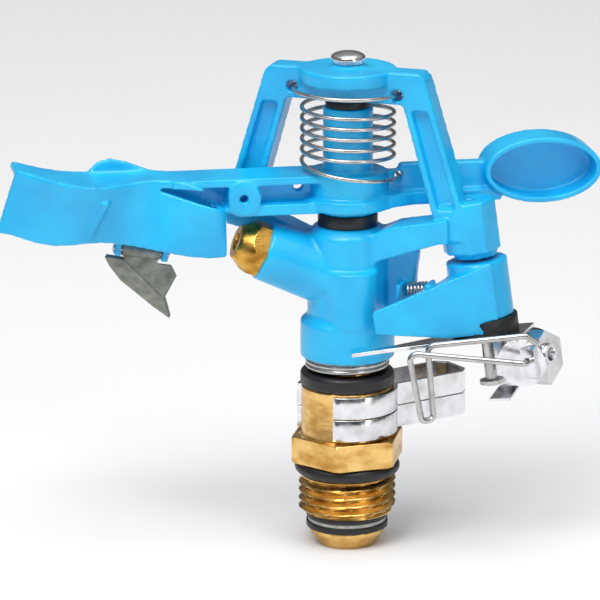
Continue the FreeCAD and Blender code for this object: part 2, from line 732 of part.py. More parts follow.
def fulcrum_pin():
    pin = body("fulcrum_pin")
    seat = "bridge_top + crown_height"
    revolve(pin, "pin_turned", outline(pin, "pin_profile", "XZ", [
        ("0", "water_top + 2"),
        ("fulcrum_radius", "water_top + 2"),
        ("fulcrum_radius", seat),
        ("crown_radius - 0.5", seat),
        ("crown_radius - 0.5", seat + " + 1"),
        ("crown_radius + 0.1", seat + " + 1"),
        ("crown_radius + 0.1", seat + " + 1.5"),
        ("crown_radius - 1.2", seat + " + 2.4"),
        ("0", seat + " + 2.7"),
    ]))


def arm_washers():
    ring("hub_washer", "fulcrum_radius + running_gap", "hub_boss_radius + 0.4",
         "arm_bottom - barrel_top", z="barrel_top")
    ring("top_washer", "fulcrum_radius + running_gap", "post_radius - 0.5",
         "bridge_under - post_top - 0.1", z="post_top + 0.05")


def trip_pin():
    at = trip_frame("neck_drop + boss_height - 1")
    pin = body("trip_pin", **at)
    shaft = circles(pin, "trip_pin_circle", "XY", [("0", "0", "trip_pin_radius")])
    pad(pin, "trip_pin_shaft", shaft, "trip_pin_low + neck_drop + boss_height - 1").Reversed = True
    clip_at = trip_frame("-trip_pin_low + 0.5")
    ring("trip_clip", "trip_pin_radius + 0.02", "2.6", "0.8", **clip_at)


# ---- arm ----

def hammer_arm():
    arm = body("hammer_arm")
    hub(arm)
    counterweight(arm)
    left_beam(arm)
    spoon(arm)
    bush = circles(arm, "bush_circle", "XY", [("0", "0", "bush_radius + 0.02")])
    pocket(arm, "bush_bore", bush)
    holes = circles(arm, "arm_hole_circles", "XZ", [
        ("-hub_radius - 2.6", "arm_top - 2.9", "1"),
        ("hub_radius + 2.4", "arm_top - 1.4", "0.9"),
    ])
    pocket(arm, "arm_holes", holes)


def hub(arm):
    disc_low = "arm_bottom + hub_boss_height"
    steps = (
        ("hub_boss", "hub_boss_radius", "arm_bottom", "hub_boss_height"),
        ("hub_disc", "hub_disc_radius", disc_low, "hub_disc_height"),
        ("hub_barrel", "hub_radius", disc_low, "arm_top - arm_bottom - hub_boss_height"),
        ("post", "post_radius", disc_low, "post_top - arm_bottom - hub_boss_height"),
    )
    for name, radius, low, tall in steps:
        pad(arm, name, circles(arm, name + "_circle", "XY", [("0", "0", radius)], lifted(low)), tall)


def counterweight(arm):
    low = "arm_bottom + hub_boss_height + 0.8"
    web = outline(arm, "right_web_outline", "XZ", [
        ("5", low),
        ("weight_centre - weight_long + 3", low),
        ("weight_centre - weight_long + 3", "arm_top + 1"),
        ("hub_radius + 3", "arm_top + 1"),
        ("hub_radius + 2.4", "arm_top - 0.4"),
        ("5", "arm_top - 0.4"),
    ])
    pad(arm, "right_web", web, "2 * arm_web + 0.6", middle=True)
    out, half = "weight_centre - weight_long + 4", "flange_half / 2"
    foot = outline(arm, "right_flange_outline", "XY", [
        ("3", "-hub_radius + 0.6"),
        ("hub_disc_radius + 4", "-flange_half * 0.75"),
        (out, "-" + half),
        (out, half),
        ("hub_disc_radius + 4", "flange_half * 0.75"),
        ("3", "hub_radius - 0.6"),
    ], lifted("arm_bottom + hub_boss_height + 0.3"))
    pad(arm, "right_flange", foot, "2.8")
    shape = ellipse(arm, "weight_outline", "XZ", ("weight_centre", "weight_height"), "weight_long", "weight_tall")
    pad(arm, "weight", shape, "2 * weight_depth", middle=True)
    dish = ellipse(arm, "dish_outline", "XZ", ("weight_centre", "weight_height"),
                   "weight_long - weight_rim", "weight_tall - weight_rim",
                   lifted("weight_depth - weight_recess"))
    pocket(arm, "weight_dish", dish, "weight_recess + 1", reverse=True)


def left_beam(arm):
    """The left side of the arm: two flanges joined by a web, with a round boss in front."""
    low = "arm_bottom + hub_boss_height - 0.4"
    top = outline(arm, "top_flange_outline", "XZ", [
        ("-5", "arm_top"),
        ("-38", "arm_top"),
        ("-38", "arm_top - flange_thick"),
        ("-5", "arm_top - flange_thick"),
    ])
    pad(arm, "top_flange", top, "2 * flange_half", middle=True)
    lower = outline(arm, "lower_flange_outline", "XZ", [
        ("-5", low),
        ("-24", low),
        ("-38", "arm_top - 2.2"),
        ("-38", "arm_top"),
        ("-35", "arm_top"),
        ("-23.4", low + " + 2.4"),
        ("-5", low + " + 2.4"),
    ])
    pad(arm, "lower_flange", lower, "2 * flange_half", middle=True)
    web = outline(arm, "left_web_outline", "XZ", [
        ("-5", low),
        ("-24", low),
        ("-30", "arm_top - 7.4"),
        ("-42", "arm_top - 3.4"),
        ("-42", "arm_top - 0.4"),
        ("-38", "arm_top - 0.4"),
        ("-38", "arm_top"),
        ("-5", "arm_top"),
    ])
    pad(arm, "left_web", web, "2 * arm_web", middle=True)
    knob = circles(arm, "knob_circle", "XZ", [("-knob_out", "knob_height", "knob_radius")])
    pad(arm, "knob", knob, "flange_half + 0.5")
    dimple = circles(arm, "dimple_circle", "XZ", [("-knob_out", "knob_height", "0.9")], lifted("2.5"))
    pocket(arm, "knob_dimple", dimple, "flange_half", reverse=True)


# distance out along the arm; the front wall's y at its top and foot; its top and foot heights
# below and above arm_top; how far back each flange reaches
SPOON_STATIONS = [
    (-27, -5.6, -6.3, -6.0, -16.4, 3.0, -1.0),
    (-37, -5.2, -6.0, 0.0, -15.8, 5.0, 0.5),
    (-45, -3.6, -4.2, 0.0, -14.2, 7.2, 2.5),
    (-54, -7.6, -2.6, 0.0, -13.2, 7.8, 3.0),
    (-62, -3.6, -0.6, 0.4, -14.0, 9.6, 5.0),
    (-69, 3.6, 3.4, 1.4, -13.2, 13.4, 8.5),
    (-76, 8.5, 7.2, 2.0, -12.6, 17.0, 12.0),
]


def spoon_section(arm, number, station):
    """A channel open at the back: front wall, top flange and lower flange."""
    out, wall_top, wall_foot, top, foot, back_top, back_foot = station
    high, low = "arm_top + %s" % top, "arm_top + %s" % foot
    points = [
        (wall_foot, low),
        (back_foot, low),
        (back_foot, low + " + spoon_wall"),
        ("%s + spoon_wall" % wall_foot, low + " + spoon_wall"),
        ("%s + spoon_wall" % wall_top, high + " - spoon_wall"),
        (back_top, high + " - spoon_wall"),
        (back_top, high),
        (wall_top, high),
    ]
    return outline(arm, "spoon_section_%d" % number, "YZ", points, lifted(str(out)))


def spoon(arm):
    sections = [spoon_section(arm, n, station) for n, station in enumerate(SPOON_STATIONS)]
    loft = feature(arm, "AdditiveLoft", "spoon", sections[0])
    loft.Sections = sections[1:]
    loft.Ruled = False
    opening = outline(arm, "beam_opening_outline", "XZ", [
        ("-43", "arm_top - flange_thick"),
        ("-26.5", "arm_top - flange_thick"),
        ("-26.5", "arm_top - 6.4"),
    ], lifted("arm_web + 0.5"))
    pocket(arm, "beam_opening", opening, "8", reverse=True)
    lips = outline(arm, "lip_outline", "XZ", [
        ("-lip_top", "arm_top + 4"),
        ("-lip_foot", "arm_top - 15"),
        ("-lip_foot - 5", "arm_top - 15"),
        ("-lip_foot - 5", "arm_top + 4"),
    ])
    pocket(arm, "slanted_lips", lips)
    rear = outline(arm, "rear_wall_outline", "XZ", [
        ("-38", "arm_top - 1"),
        ("-38", "arm_top - 9"),
        ("-54.5", "arm_top - 9"),
        ("-54.5", "arm_top + 0.6"),
        ("-52.7", "arm_top + 2.3"),
        ("-50", "arm_top + 2.9"),
        ("-46.5", "arm_top + 2.1"),
        ("-42", "arm_top + 0.3"),
    ], lifted("-7.2"))
    pad(arm, "rear_wall", rear, "1.4")
    rib = [outline(arm, "rib_section_%d" % number, "XY", [
        (str(out - 0.8), str(front)),
        (str(out + 0.8), str(front)),
        (str(out + 0.8), str(front + 2)),
        (str(out - 0.8), str(front + 2)),
    ], lifted(height)) for number, (out, front, height) in enumerate((
        (-52.6, -7.5, "arm_top - 3.4"),
        (-56.6, -3.1, "arm_top - 13"),
    ))]
    ridge = feature(arm, "AdditiveLoft", "front_rib", rib[0])
    ridge.Sections = rib[1:]
    along_hinge = "placement(vector(flap_x; flap_z; -flap_y); rotation(vector(0; 0; 1); -flap_slope))"
    for word, side in (("outer", -1), ("inner", 1)):
        near = "%d * (flap_span / 2 + 0.1)" % side
        far = "%d * (flap_span / 2 + 0.1 + lug_thick)" % side
        lug = outline(arm, word + "_lug_outline", "XZ", [
            (near, "-1.5"),
            (far, "-1.5"),
            (far, "2.4"),
            (near, "2.4"),
        ], along_hinge)
        pad(arm, word + "_lug", lug, "2.6", middle=True)
    bore = circles(arm, "flap_bore_circle", "YZ", [("0", "0", "flap_pin_radius + 0.02")],
                   "placement(vector(flap_y; flap_z; flap_x); rotation(vector(1; 0; 0); flap_slope)) * "
                   "placement(vector(0; 0; -flap_span); rotation(0; 0; 0))")
    pocket(arm, "flap_bore", bore, "2 * flap_span", reverse=True)


def arm_bush():
    bush = ring("arm_bush", "fulcrum_radius + running_gap", "bush_radius",
                "post_top - arm_bottom", z="arm_bottom")
    return bush


def arm_spring():
    """A left-hand torsion coil. Its top loop passes through the bridge's two holes."""
    start = size["bridge_turn"] + 165
    loop_turns, blend_turns, coil_turns = 0.56, 0.42, 5.6
    turns = loop_turns + blend_turns + coil_turns
    loop_end, coil_start = loop_turns / turns, (loop_turns + blend_turns) / turns
    top = size["loop_height"] + 0.05

    def mix(share, low, high):
        part = min(1, max(0, (share - low) / (high - low)))
        return part * part * (3 - 2 * part)

    def radius_at(share):
        return size["arm_loop"] + (size["arm_coil"] - size["arm_loop"]) * mix(share, loop_end, coil_start)

    def height_at(share):
        looped = top - 0.7 * min(1, share / loop_end)
        coiled = size["arm_coil_top"] - (size["arm_coil_top"] - size["arm_coil_low"]) * max(
            0, (share - coil_start) / (1 - coil_start))
        blend = mix(share, loop_end, coil_start)
        return looped * (1 - blend) + coiled * blend

    path = coil_path(turns, radius_at, height_at, start)
    free_shape("arm_spring", sweep_wire(path, size["arm_wire"] / 2))


def flap():
    """Bent sheet deflector with a knuckle on its hinge pin. Its own X is the hinge line."""
    hinge = dict(x="flap_x", y="flap_y", z="flap_z", pitch="flap_slope")
    made = body("deflector_flap", **hinge)
    knuckle = circles(made, "knuckle_circle", "YZ", [("0", "0", "2 * flap_pin_radius")])
    pad(made, "knuckle", knuckle, "flap_span - 0.3", middle=True)
    fold_start, fold_end = (-6.7, 0.3), (6.5, -9.6)
    fold_angle = math.degrees(math.atan2(fold_end[1] - fold_start[1], fold_end[0] - fold_start[0]))
    main = outline(made, "main_facet_outline", "XZ", [
        ("-flap_span / 2 + 0.4", "0"),
        ("flap_span / 2 - 0.4", "0"),
        ("flap_span / 2 - 0.4", "-2.2"),
        ("7", "-2.2"),
        ("8.4", "-4.2"),
        fold_end,
        ("-3.4", "-2.2"),
    ])
    pad(made, "main_facet", main, "flap_thick", middle=True)
    side = outline(made, "side_facet_outline", "XZ", [
        ("4.1", "0.4"),
        ("16.4", "0.4"),
        ("21", "-3"),
        ("16.8", "-4.1"),
        ("12.2", "-4.8"),
        ("8", "-5.5"),
        ("3.8", "-4.6"),
        ("1.5", "-3.5"),
    ], "placement(vector(%s; %s; 0); rotation(vector(0; 0; 1); %s)) * "
       "placement(vector(0; 0; 0); rotation(vector(1; 0; 0); flap_fold))" % (*fold_start, fold_angle))
    pad(made, "side_facet", side, "flap_thick", middle=True)
    bore = circles(made, "hinge_circle", "YZ", [("0", "0", "flap_pin_radius + running_gap")])
    pocket(made, "hinge_bore", bore)
    pin = body("flap_pin", **hinge)
    shaft = circles(pin, "flap_pin_circle", "YZ", [("0", "0", "flap_pin_radius")])
    pad(pin, "flap_pin_shaft", shaft, "flap_span + 2 * lug_thick + 0.6", middle=True)


# ---- trip mechanism, in the pivot's frame ----

def trip_lever():
    lever = body("trip_lever", **trip_frame())
    top, low = "-0.3", "-lever_bottom"
    hub_round = circles(lever, "lever_hub_circle", "XY", [("0", "0", "lever_hub")], lifted("-lever_hub_height"))
    arm = outline(lever, "lever_arm_outline", "XY", [
        ("-lever_reach", "-13"),
        ("1.5", "-lever_hub - 1.1"),
        ("5", "-lever_hub + 1.4"),
        ("0", "0"),
        ("-lever_hub + 1.2", "3"),
        ("-7.9", "-4.2"),
        ("-14", "-9.5"),
        ("-lever_reach", "-11.3"),
    ], lifted(low))
    pad(lever, "lever_arm", arm, "lever_bottom - 0.3")
    slope = outline(lever, "lever_slope_outline", "XZ", [
        ("-lever_reach - 1", "1"),
        ("-lever_reach - 1", "-lever_tip_drop"),
        ("lever_hub - 2", top),
        ("lever_hub - 2", "1"),
    ])
    pocket(lever, "lever_slope", slope)
    rise = outline(lever, "lever_rise_outline", "XZ", [
        ("-lever_reach - 1", "-lever_bottom - 1"),
        ("-lever_reach - 1", "-lever_tip_bottom"),
        ("-lever_hub + 1", "-lever_bottom"),
        ("-lever_hub + 1", "-lever_bottom - 1"),
    ])
    pocket(lever, "lever_rise", rise)
    under = circles(lever, "lever_under_circle", "XY", [("0", "0", "spacer_radius + 0.3")], lifted(low))
    pocket(lever, "lever_under", under, "lever_bottom - lever_hub_height", reverse=True)
    pad(lever, "lever_hub_pad", hub_round, "lever_hub_height - 0.3")
    ear = outline(lever, "spring_ear_outline", "XZ", [
        ("-ear_out - 0.6", "-8.5"),
        ("-ear_out + 0.6", "-8.5"),
        ("-ear_out + 0.6", "-3.6"),
        ("-ear_out - 0.6", "-3.6"),
    ], lifted("2.6"))
    pad(lever, "spring_ear", ear, "5")
    bore = circles(lever, "lever_bore_circle", "XY", [("0", "0", "trip_pin_radius + running_gap")])
    pocket(lever, "lever_bore", bore)


def trip_spacer():
    ring("trip_spacer", "trip_pin_radius + running_gap", "spacer_radius", "spacer_thick",
         **trip_frame("-lever_hub_height - spacer_thick - 0.02"))


def plate_top():
    return "-lever_hub_height - spacer_thick - 0.04"


def trip_plate():
    plate = body("trip_plate", **trip_frame())
    shape = outline(plate, "plate_outline", "XY", [
        ("9.4", "-5.5"),
        ("1", "-8.7"),
        ("-9", "-9.4"),
        ("-18", "-11.8"),
        ("-25.5", "-14.6"),
        ("-25.9", "-13.6"),
        ("-18", "-8.9"),
        ("-10", "-3"),
        ("-6.5", "4"),
        ("9.4", "5"),
    ], lifted(plate_top() + " - plate_thick"))
    pad(plate, "plate", shape, "plate_thick")
    bore = circles(plate, "plate_bore_circle", "XY", [("0", "0", "trip_pin_radius + running_gap")])
    pocket(plate, "plate_bore", bore)


def block_frame(turn="0"):
    """The wire block's frame: the pivot's frame moved to the block's centre, and turned."""
    down = "(%s - plate_thick - 0.25 - cheek_radius)" % plate_top()
    at = trip_frame(down)
    flat = "block_out * cos(pivot_tilt)"
    return ("placement(vector(%s + %s * cos(bridge_turn); %s + %s * sin(bridge_turn); "
            "%s + block_out * sin(pivot_tilt)); rotation(%s; %s; 0)) * placement(vector(0; 0; 0); rotation(%s; 0; 0))"
            % (at["x"], flat, at["y"], flat, at["z"], at["yaw"], at["pitch"], turn))


def block_body(label, turn="0"):
    made = body(label)
    bind(made, "Placement", block_frame(turn))
    return made


def wire_block():
    """Round at its inner end, where the wire enters from the front, and hexagonal outside."""
    block = block_body("wire_block", "block_turn")
    corner = "block_flats / 2 / cos(30)"
    hexes = [("%s * sin(%d)" % (corner, 60 * k), "%s * cos(%d)" % (corner, 60 * k)) for k in range(6)]
    shape = outline(block, "block_outline", "YZ", hexes, lifted("block_start"))
    pad(block, "block_hex", shape, "block_length - block_start")
    turned = "placement(vector(0; 0; 0); rotation(vector(0; 1; 0); -block_turn))"
    cheek = circles(block, "cheek_circle", "XZ", [("0", "0", "cheek_radius")], turned)
    pad(block, "cheek", cheek, "2 * cheek_half", middle=True)
    hole = circles(block, "wire_entry_circle", "XZ",
                   [("0", "wire_hole_lift", "trip_wire_radius + running_gap")],
                   "placement(vector(0; 0; 0); rotation(vector(0; 1; 0); wire_turn - block_turn))")
    pocket(block, "wire_entry", hole)
    seat = circles(block, "screw_seat_circle", "YZ", [("0", "screw_lift", "screw_shank + 0.02")],
                   lifted("block_length - 4"))
    pocket(block, "screw_seat", seat, "5", reverse=True)
    face = circles(block, "spot_face_circle", "YZ", [("0", "screw_lift", "screw_head + 0.15")],
                   lifted("block_length"))
    pocket(block, "spot_face", face, "3", reverse=True)


def block_screw():
    screw = block_body("block_screw", "block_turn")
    shank = circles(screw, "screw_shank_circle", "YZ", [("0", "screw_lift", "screw_shank")],
                    lifted("block_length - 3.6"))
    pad(screw, "screw_shank_pad", shank, "3.6")
    head = circles(screw, "screw_head_circle", "YZ", [("0", "screw_lift", "screw_head")], lifted("block_length"))
    pad(screw, "screw_head_pad", head, "0.9")
    socket = circles(screw, "screw_socket_circle", "YZ", [("0", "screw_lift", "screw_socket")],
                     lifted("block_length - 1.5"))
    pocket(screw, "screw_socket_cut", socket, "3", reverse=True)


def block_bracket():
    """Folded sheet behind the block: it hangs from the trip plate and ends in a foot."""
    bracket = body("block_bracket", **trip_frame())
    top = "%s - plate_thick - 0.03" % plate_top()
    wall = "cheek_half + 0.04"
    shape = outline(bracket, "bracket_sheet_outline", "YZ", [
        ("2", top),
        (wall + " + bracket_thick", top),
        (wall + " + bracket_thick", "-bracket_low"),
        ("-2.4", "-bracket_low - 0.7"),
        ("-2.4", "-bracket_low - 0.7 + bracket_thick"),
        (wall, "-bracket_low + bracket_thick"),
        (wall, top + " - bracket_thick"),
        ("2", top + " - bracket_thick"),
    ], lifted("-0.4"))
    pad(bracket, "bracket_sheet", shape, "bracket_wide")


def trip_wire():
    """Hairpin: one end enters the block, two strands run along the lever, and the loop hangs."""
    rear = -size["wire_front"]
    front = rear - size["wire_spread"]
    hole = size["wire_hole_lift"]
    corner_x, corner_z = -size["wire_corner"], hole + size["wire_rise"]
    low = corner_z - size["wire_drop"]
    loop = 0.6 * size["wire_legs"]
    points = [
        V(0, -3, hole),
        V(0, front, hole),
        V(corner_x, front, corner_z),
        V(corner_x + 0.9, front, low),
        V(corner_x + 0.9 + loop, rear, low - 0.2),
        V(corner_x + size["wire_legs"], rear, corner_z + 0.8),
        V(0.4, rear, hole + 5.8),
        V(2.8, rear, hole + 3.7),
    ]
    path = bent_path(points, [1.3, 1.5, 1.1, 1.1, 1.5, 1.0])
    made = free_shape("trip_wire", sweep_wire(path, size["trip_wire_radius"]))
    bind(made, "Placement", block_frame("wire_turn"))


def trip_spring():
    """Short coil between the bracket's web and the lever's ear, along the pivot's X."""
    length, radius = size["trip_coil_long"], size["trip_coil_wire"]
    start = -size["ear_out"] - 0.6 - radius - length
    path = coil_path(4, lambda share: size["trip_coil"], lambda share: length * share)
    path.Placement = FreeCAD.Placement(V(start, -4.25, -5.4), FreeCAD.Rotation(V(0, 1, 0), 90))
    free_shape("trip_spring", sweep_wire(path, radius), **trip_frame())


# ---- friction collars ----

def stop_collar(label, bottom):
    """A split ring with a looped handle along its own X."""
    collar = body(label, z=bottom, yaw="handle_turn")
    inner = "neck_radius + running_gap"
    outer = inner + " + strip_thick"
    pad(collar, label + "_ring", circles(collar, label + "_outer", "XY", [("0", "0", outer)]), "strip_tall")
    pad(collar, label + "_handle", outline(collar, label + "_handle_outline", "XY",
                                           handle_points("handle_half + strip_thick", "handle_end", "7", 2.2)),
        "strip_tall")
    pocket(collar, label + "_slot", outline(collar, label + "_slot_outline", "XY",
                                            handle_points("handle_half", "handle_end - strip_thick", "0", 1.6)))
    pocket(collar, label + "_bore", circles(collar, label + "_inner", "XY", [("0", "0", inner)]))
    reach = "2 * (neck_radius + strip_thick)"
    pocket(collar, label + "_split", outline(collar, label + "_split_outline", "XY", [
        ("0", "0"),
        (reach + " * cos(141 )", reach + " * sin(141)"),
        (reach + " * cos(180)", reach + " * sin(180)"),
        (reach + " * cos(219)", reach + " * sin(219)"),
    ]))


def handle_points(half, end, start, corner):
    return [
        (start, "-(%s)" % half),
        ("%s - %s" % (end, corner), "-(%s)" % half),
        (end, "-(%s) + %s" % (half, corner)),
        (end, "%s - %s" % (half, corner)),
        ("%s - %s" % (end, corner), half),
        (start, half),
    ]


def friction_collars():
    stop_collar("collar_lower", "collar_low")
    stop_collar("collar_upper", "collar_low + strip_tall + strip_gap")


# ---- build, check and write ----

def check(objects):
    """Stops if any object failed to recompute or any sub-part is empty, broken or in pieces."""
    for thing in objects:
        if {"Invalid", "Error"} & set(thing.State):
            raise RuntimeError("%s is %s" % (thing.Name, thing.State))
    for part in SUBPARTS:
        if part.Shape.isNull() or not part.Shape.isValid():
            raise RuntimeError(part.Label + " has no valid shape")
        if len(part.Shape.Solids) != 1:
            raise RuntimeError("%s has %d solids" % (part.Label, len(part.Shape.Solids)))


def main():
    for make in (bearing_nut, riser_gasket, neck_ring, inner_tube, nose_washers, bearing_spring, body_casting,
                 nozzle, fulcrum_pin, arm_washers, trip_pin, hammer_arm, arm_bush, arm_spring, flap,
                 trip_lever, trip_spacer, trip_plate, wire_block, block_screw, block_bracket, trip_wire,
                 trip_spring, friction_collars):
        make()
    doc.recompute()
    check(doc.Objects)
    os.makedirs("parts", exist_ok=True)
    for part in SUBPARTS:
        part.Shape.exportStep("parts/%s.step" % part.Label)
        print("%-20s %9.1f mm3" % (part.Label, part.Shape.Volume))


main()
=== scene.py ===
"""Part-circle impact sprinkler: finishes, detail pieces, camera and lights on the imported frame."""
import json
import math
import bpy
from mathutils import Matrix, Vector

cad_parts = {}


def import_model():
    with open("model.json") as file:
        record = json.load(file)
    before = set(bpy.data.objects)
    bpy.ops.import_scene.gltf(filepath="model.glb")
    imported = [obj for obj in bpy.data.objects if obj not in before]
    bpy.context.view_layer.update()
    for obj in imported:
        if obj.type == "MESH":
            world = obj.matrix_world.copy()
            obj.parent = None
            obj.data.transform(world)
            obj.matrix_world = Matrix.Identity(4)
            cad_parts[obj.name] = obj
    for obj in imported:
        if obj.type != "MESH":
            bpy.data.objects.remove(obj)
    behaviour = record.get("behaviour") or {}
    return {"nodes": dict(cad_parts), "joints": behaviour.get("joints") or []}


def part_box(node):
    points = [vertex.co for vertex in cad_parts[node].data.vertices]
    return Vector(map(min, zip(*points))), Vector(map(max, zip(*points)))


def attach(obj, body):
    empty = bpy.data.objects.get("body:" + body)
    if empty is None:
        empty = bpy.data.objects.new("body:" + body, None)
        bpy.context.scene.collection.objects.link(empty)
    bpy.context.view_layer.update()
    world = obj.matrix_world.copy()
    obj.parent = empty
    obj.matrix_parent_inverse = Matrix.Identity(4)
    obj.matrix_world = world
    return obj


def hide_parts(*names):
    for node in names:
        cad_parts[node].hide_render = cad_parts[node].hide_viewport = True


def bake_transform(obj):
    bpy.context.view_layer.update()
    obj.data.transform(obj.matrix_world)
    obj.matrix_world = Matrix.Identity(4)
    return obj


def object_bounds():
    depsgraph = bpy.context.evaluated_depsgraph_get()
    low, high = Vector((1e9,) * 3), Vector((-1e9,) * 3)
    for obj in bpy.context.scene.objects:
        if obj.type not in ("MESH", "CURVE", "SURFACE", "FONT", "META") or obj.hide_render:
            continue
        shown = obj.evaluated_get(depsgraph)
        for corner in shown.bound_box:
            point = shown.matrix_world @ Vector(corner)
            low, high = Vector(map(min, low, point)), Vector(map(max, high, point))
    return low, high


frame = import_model()
cad_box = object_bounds()
nodes = frame["nodes"]
MM = 0.001
BOX_LOW, BOX_HIGH = cad_box


# ---- materials ----

class Finish:
    """A Principled material, with short calls for the nodes that vary it over the surface."""

    def __init__(self, name, color, **sockets):
        self.material = bpy.data.materials.new(name)
        self.material.use_nodes = True
        self.tree = self.material.node_tree
        self.shader = self.tree.nodes["Principled BSDF"]
        self.shader.inputs["Base Color"].default_value = (*color, 1)
        for socket, value in sockets.items():
            self.shader.inputs[socket.replace("_", " ")].default_value = value
        self.place = self.tree.nodes.new("ShaderNodeTexCoord").outputs["Object"]
        self.normal = None

    def noise(self, scale, stretch=(1, 1, 1), detail=3.0):
        """Noise in the object's own metres; scale is how many features there are per metre."""
        mapping = self.tree.nodes.new("ShaderNodeMapping")
        mapping.inputs["Scale"].default_value = stretch
        made = self.tree.nodes.new("ShaderNodeTexNoise")
        made.inputs["Scale"].default_value = scale
        made.inputs["Detail"].default_value = detail
        self.tree.links.new(self.place, mapping.inputs["Vector"])
        self.tree.links.new(mapping.outputs["Vector"], made.inputs["Vector"])
        return made.outputs["Fac"]

    def colors(self, factor, dark, light, low=0.35, high=0.65):
        ramp = self.tree.nodes.new("ShaderNodeValToRGB")
        first, last = ramp.color_ramp.elements
        first.position, last.position = low, high
        first.color, last.color = (*dark, 1), (*light, 1)
        self.tree.links.new(factor, ramp.inputs["Fac"])
        self.tree.links.new(ramp.outputs["Color"], self.shader.inputs["Base Color"])
        return self

    def roughness(self, factor, low, high):
        spread = self.tree.nodes.new("ShaderNodeMapRange")
        spread.inputs["From Min"].default_value = 0.3
        spread.inputs["From Max"].default_value = 0.7
        spread.inputs["To Min"].default_value = low
        spread.inputs["To Max"].default_value = high
        self.tree.links.new(factor, spread.inputs["Value"])
        self.tree.links.new(spread.outputs["Result"], self.shader.inputs["Roughness"])
        return self

    def bump(self, factor, height_mm, strength=1.0):
        made = self.tree.nodes.new("ShaderNodeBump")
        made.inputs["Distance"].default_value = height_mm * MM
        made.inputs["Strength"].default_value = strength
        self.tree.links.new(factor, made.inputs["Height"])
        if self.normal:
            self.tree.links.new(self.normal, made.inputs["Normal"])
        self.normal = made.outputs["Normal"]
        self.tree.links.new(self.normal, self.shader.inputs["Normal"])
        return self


def blue_paint():
    """Thick glossy paint over a sand casting: soft waves, light orange peel."""
    paint = Finish("blue_paint", (0.004, 0.46, 0.84), Roughness=0.42, Coat_Weight=0.3, Coat_Roughness=0.04)
    paint.colors(paint.noise(90), (0.002, 0.4, 0.77), (0.004, 0.51, 0.88))
    paint.bump(paint.noise(170, detail=1.0), 0.22, 0.6)
    paint.bump(paint.noise(900, detail=2.0), 0.035, 0.6)
    return paint.material


def brass(name, dark, light, rough):
    """Turned brass: fine rings round the axis, stains and small dents."""
    metal = Finish(name, light, Metallic=1.0)
    metal.colors(metal.noise(160, stretch=(1, 1, 2.2), detail=6.0), dark, light, 0.36, 0.6)
    metal.roughness(metal.noise(420), rough, rough + 0.2)
    metal.bump(metal.noise(60, stretch=(1, 1, 70), detail=2.0), 0.03, 0.7)
    metal.bump(metal.noise(650, detail=4.0), 0.02, 0.5)
    return metal.material


def steel(name, tone, rough, streak=(1, 1, 40)):
    """Bright steel with drawn streaks and finger marks."""
    metal = Finish(name, tone, Metallic=1.0)
    dull = tuple(0.72 * part for part in tone)
    metal.colors(metal.noise(260, detail=5.0), dull, tone, 0.3, 0.55)
    metal.roughness(metal.noise(500), rough, rough + 0.16)
    metal.bump(metal.noise(90, stretch=streak, detail=2.0), 0.012, 0.5)
    return metal.material


def rubber():
    skin = Finish("black_rubber", (0.011, 0.011, 0.013), Roughness=0.4)
    skin.roughness(skin.noise(700), 0.32, 0.55)
    skin.bump(skin.noise(1500, detail=4.0), 0.02, 0.5)
    return skin.material


def pale_plastic():
    plastic = Finish("pale_plastic", (0.62, 0.6, 0.54), Roughness=0.5, Subsurface_Weight=0.1)
    plastic.colors(plastic.noise(500), (0.5, 0.48, 0.43), (0.68, 0.66, 0.6))
    return plastic.material


def flap_grey():
    """Dull plated sheet with handling marks."""
    sheet = Finish("flap_grey", (0.2, 0.21, 0.18), Metallic=0.55, Roughness=0.5)
    sheet.colors(sheet.noise(420, detail=7.0), (0.13, 0.14, 0.12), (0.3, 0.315, 0.28), 0.3, 0.7)
    sheet.roughness(sheet.noise(900), 0.4, 0.6)
    sheet.bump(sheet.noise(1400, detail=5.0), 0.03, 0.6)
    return sheet.material


def floor_paper():
    paper = Finish("floor_paper", (0.9, 0.9, 0.9), Roughness=0.85)
    paper.colors(paper.noise(3), (0.88, 0.88, 0.885), (0.91, 0.91, 0.915))
    return paper.material


# ---- meshes ----

def new_piece(name, points, faces, material, sharp=32):
    mesh = bpy.data.meshes.new(name)
    mesh.from_pydata(points, [], faces)
    mesh.update()
    made = bpy.data.objects.new(name, mesh)
    bpy.context.scene.collection.objects.link(made)
    mesh.materials.append(material)
    mesh.shade_smooth()
    mesh.set_sharp_from_angle(angle=math.radians(sharp))
    return made


def ring_faces(rings, around, wrap):
    """Quads between neighbouring rings of `around` points; wrap joins the last ring to the first."""
    faces = []
    for ring in range(rings if wrap else rings - 1):
        below, above = ring * around, (ring + 1) % rings * around
        for k in range(around):
            after = (k + 1) % around
            faces.append((below + k, below + after, above + after, above + k))
    return faces


def lathe(name, rows, around, material):
    """Turns rows of (height, radius at an angle), in millimetres, into a closed ring of quads."""
    angles = [2 * math.pi * k / around for k in range(around)]
    points = []
    for height, radius_at in rows:
        for angle in angles:
            radius = radius_at(angle) * MM
            points.append((radius * math.cos(angle), radius * math.sin(angle), height * MM))
    return new_piece(name, points, ring_faces(len(rows), around, True), material)


def tube(name, path, radius, material, sides=14):
    """A round wire along path, in metres, with rounded ends."""
    count = len(path)
    along = [(path[min(k + 1, count - 1)] - path[max(k - 1, 0)]).normalized() for k in range(count)]
    side = along[0].orthogonal().normalized()
    points = []
    for k, centre in enumerate(path):
        side = (side - side.dot(along[k]) * along[k]).normalized()
        other = along[k].cross(side)
        end = 0.55 if k in (0, count - 1) else 1
        for step in range(sides):
            turn = 2 * math.pi * step / sides
            points.append(centre + radius * end * (math.cos(turn) * side + math.sin(turn) * other))
    faces = ring_faces(count, sides, False)
    faces.append(tuple(reversed(range(sides))))
    faces.append(tuple(range((count - 1) * sides, count * sides)))
    return new_piece(name, points, faces, material, sharp=60)


